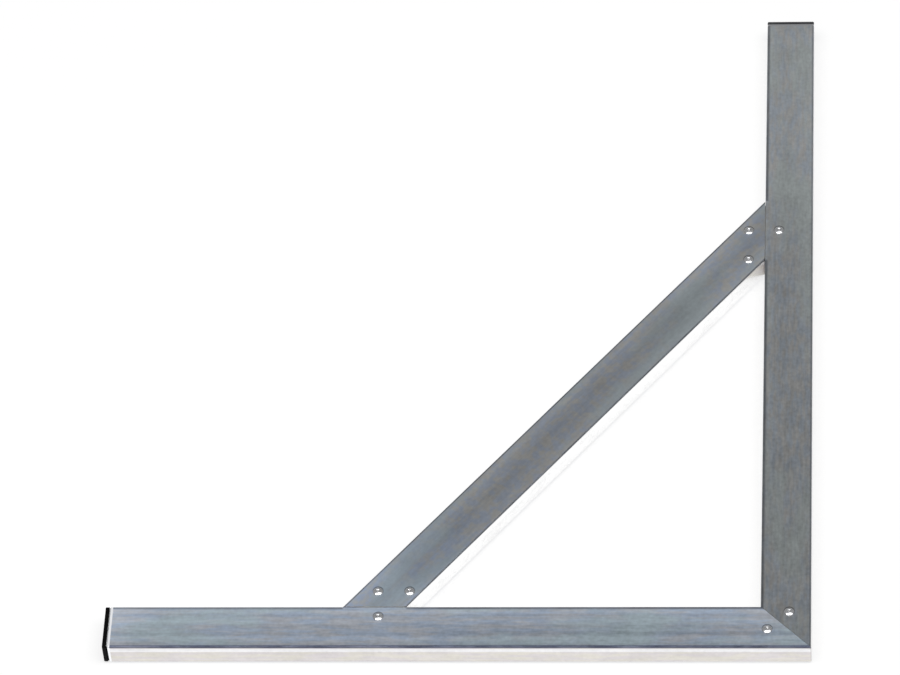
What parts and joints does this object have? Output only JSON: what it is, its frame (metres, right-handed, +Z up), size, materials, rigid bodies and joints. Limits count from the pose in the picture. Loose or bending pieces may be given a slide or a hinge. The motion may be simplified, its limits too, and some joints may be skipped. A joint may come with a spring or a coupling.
{
  "type": "builder's square",
  "caption": "Large right-angle builder's square of rectangular aluminium tube, mitred at the corner and stiffened by a riveted diagonal brace, with capped ends.",
  "frame": {"origin": "the heel, which is the square's outer corner, on the plane that the square lies on", "axes": "+Z up, square to the broad faces; the base leg runs from the heel along -X and the upright leg along +Y, so +X and -Y are the outward normals of the two outer edges"},
  "size_m": [0.704, 0.84, 0.0282],
  "materials": {
    "base_leg_tube": "mill finish, streaked along the tube",
    "upright_leg_tube": "mill finish, streaked along the tube",
    "brace_tube": "mill finish, streaked along the tube, slightly mottled",
    "gusset_plate": "zinc-plated sheet",
    "rivet": "bright domed heads",
    "mandrel": "broken end, dull",
    "cap_plastic": "black moulded plastic"
  },
  "bodies": {
    "root": {"base_end_cap": "cap_plastic", "base_leg": "base_leg_tube", "brace": "brace_tube", "corner_gusset_back": "gusset_plate", "corner_gusset_front": "gusset_plate", "corner_mandrels_back": "mandrel", "corner_mandrels_front": "mandrel", "corner_rivets_back": "rivet", "corner_rivets_front": "rivet", "foot_gusset_back": "gusset_plate", "foot_gusset_front": "gusset_plate", "foot_mandrels_back": "mandrel", "foot_mandrels_front": "mandrel", "foot_rivets_back": "rivet", "foot_rivets_front": "rivet", "head_gusset_back": "gusset_plate", "head_gusset_front": "gusset_plate", "head_mandrels_back": "mandrel", "head_mandrels_front": "mandrel", "head_rivets_back": "rivet", "head_rivets_front": "rivet", "upright_end_cap": "cap_plastic", "upright_leg": "upright_leg_tube"}
  },
  "joints": []
}
